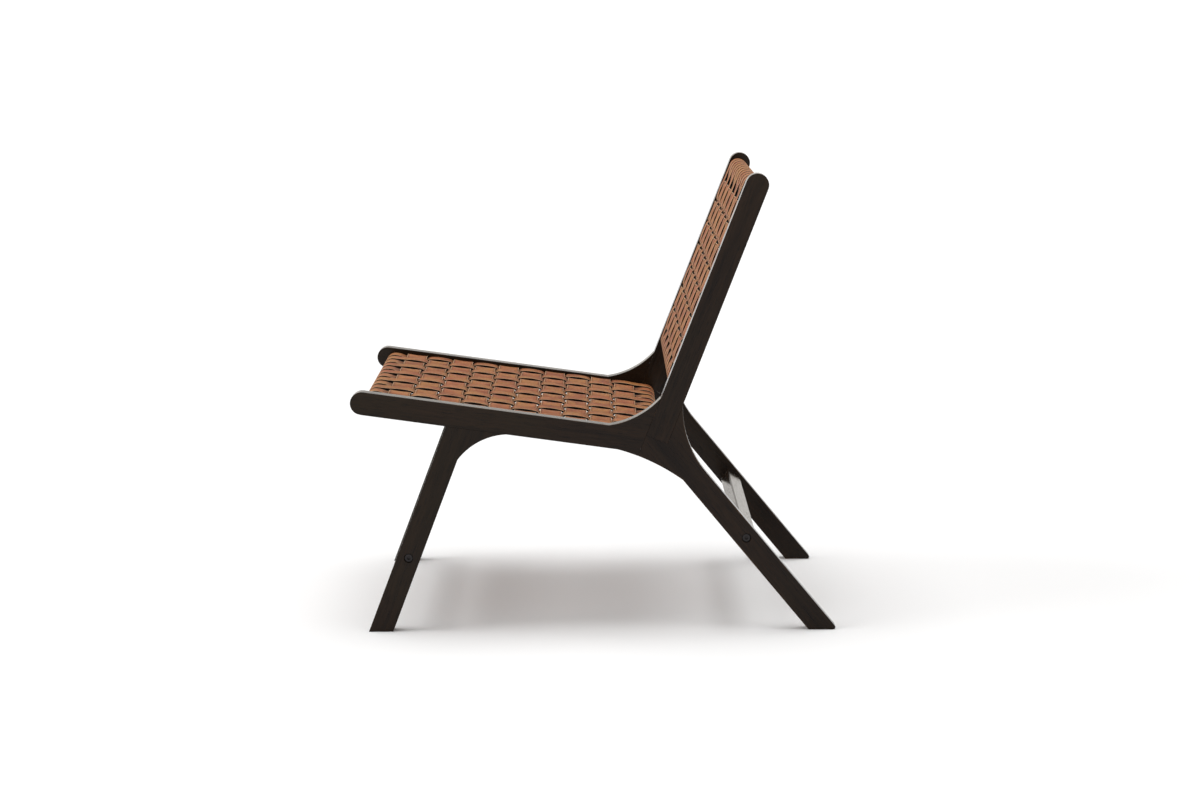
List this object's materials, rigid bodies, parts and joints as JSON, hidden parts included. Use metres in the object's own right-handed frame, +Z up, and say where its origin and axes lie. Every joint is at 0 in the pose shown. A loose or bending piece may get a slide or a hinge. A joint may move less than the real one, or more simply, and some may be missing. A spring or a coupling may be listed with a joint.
{
  "type": "lounge chair",
  "caption": "Low armless lounge chair: two dark wood side frames joined by stretchers, with a sloping seat and a raked back of woven leather straps.",
  "frame": {"origin": "centre of the footprint, on the floor", "axes": "+X to the left side of a person sitting in the chair, +Y to the rear, +Z up; the front of the chair faces -Y"},
  "size_m": [0.63, 0.8029, 0.7599],
  "materials": {
    "frame_wood": "dark stained hardwood, satin lacquer, eased edges",
    "hidden_wood": "plain beech, unfinished",
    "leather": "tan saddle leather straps, smooth with fine grain",
    "bolt_steel": "black oxide steel"
  },
  "bodies": {
    "root": {"left_front_leg": "frame_wood", "left_seat_rail": "frame_wood", "left_back_upright": "frame_wood", "left_rear_leg": "frame_wood", "left_front_leg_tenon": "hidden_wood", "left_upright_tenon": "hidden_wood", "left_rear_leg_tenon": "hidden_wood", "front_left_bolt": "bolt_steel", "front_left_barrel_nut": "bolt_steel", "rear_left_bolt": "bolt_steel", "rear_left_barrel_nut": "bolt_steel", "right_front_leg": "frame_wood", "right_seat_rail": "frame_wood", "right_back_upright": "frame_wood", "right_rear_leg": "frame_wood", "right_front_leg_tenon": "hidden_wood", "right_upright_tenon": "hidden_wood", "right_rear_leg_tenon": "hidden_wood", "front_right_bolt": "bolt_steel", "front_right_barrel_nut": "bolt_steel", "rear_right_bolt": "bolt_steel", "rear_right_barrel_nut": "bolt_steel", "front_stretcher": "frame_wood", "rear_stretcher": "frame_wood", "seat_front_rail": "hidden_wood", "seat_rear_rail": "hidden_wood", "back_bottom_rail": "hidden_wood", "back_top_rail": "hidden_wood", "seat_left_stile": "hidden_wood", "seat_front_left_dowel": "hidden_wood", "seat_front_left_screw": "bolt_steel", "seat_rear_left_dowel": "hidden_wood", "seat_rear_left_screw": "bolt_steel", "seat_right_stile": "hidden_wood", "seat_front_right_dowel": "hidden_wood", "seat_front_right_screw": "bolt_steel", "seat_rear_right_dowel": "hidden_wood", "seat_rear_right_screw": "bolt_steel", "seat_weave": "leather", "back_left_stile": "hidden_wood", "back_bottom_left_dowel": "hidden_wood", "back_bottom_left_screw": "bolt_steel", "back_top_left_dowel": "hidden_wood", "back_top_left_screw": "bolt_steel", "back_right_stile": "hidden_wood", "back_bottom_right_dowel": "hidden_wood", "back_bottom_right_screw": "bolt_steel", "back_top_right_dowel": "hidden_wood", "back_top_right_screw": "bolt_steel", "back_weave": "leather"}
  },
  "joints": []
}
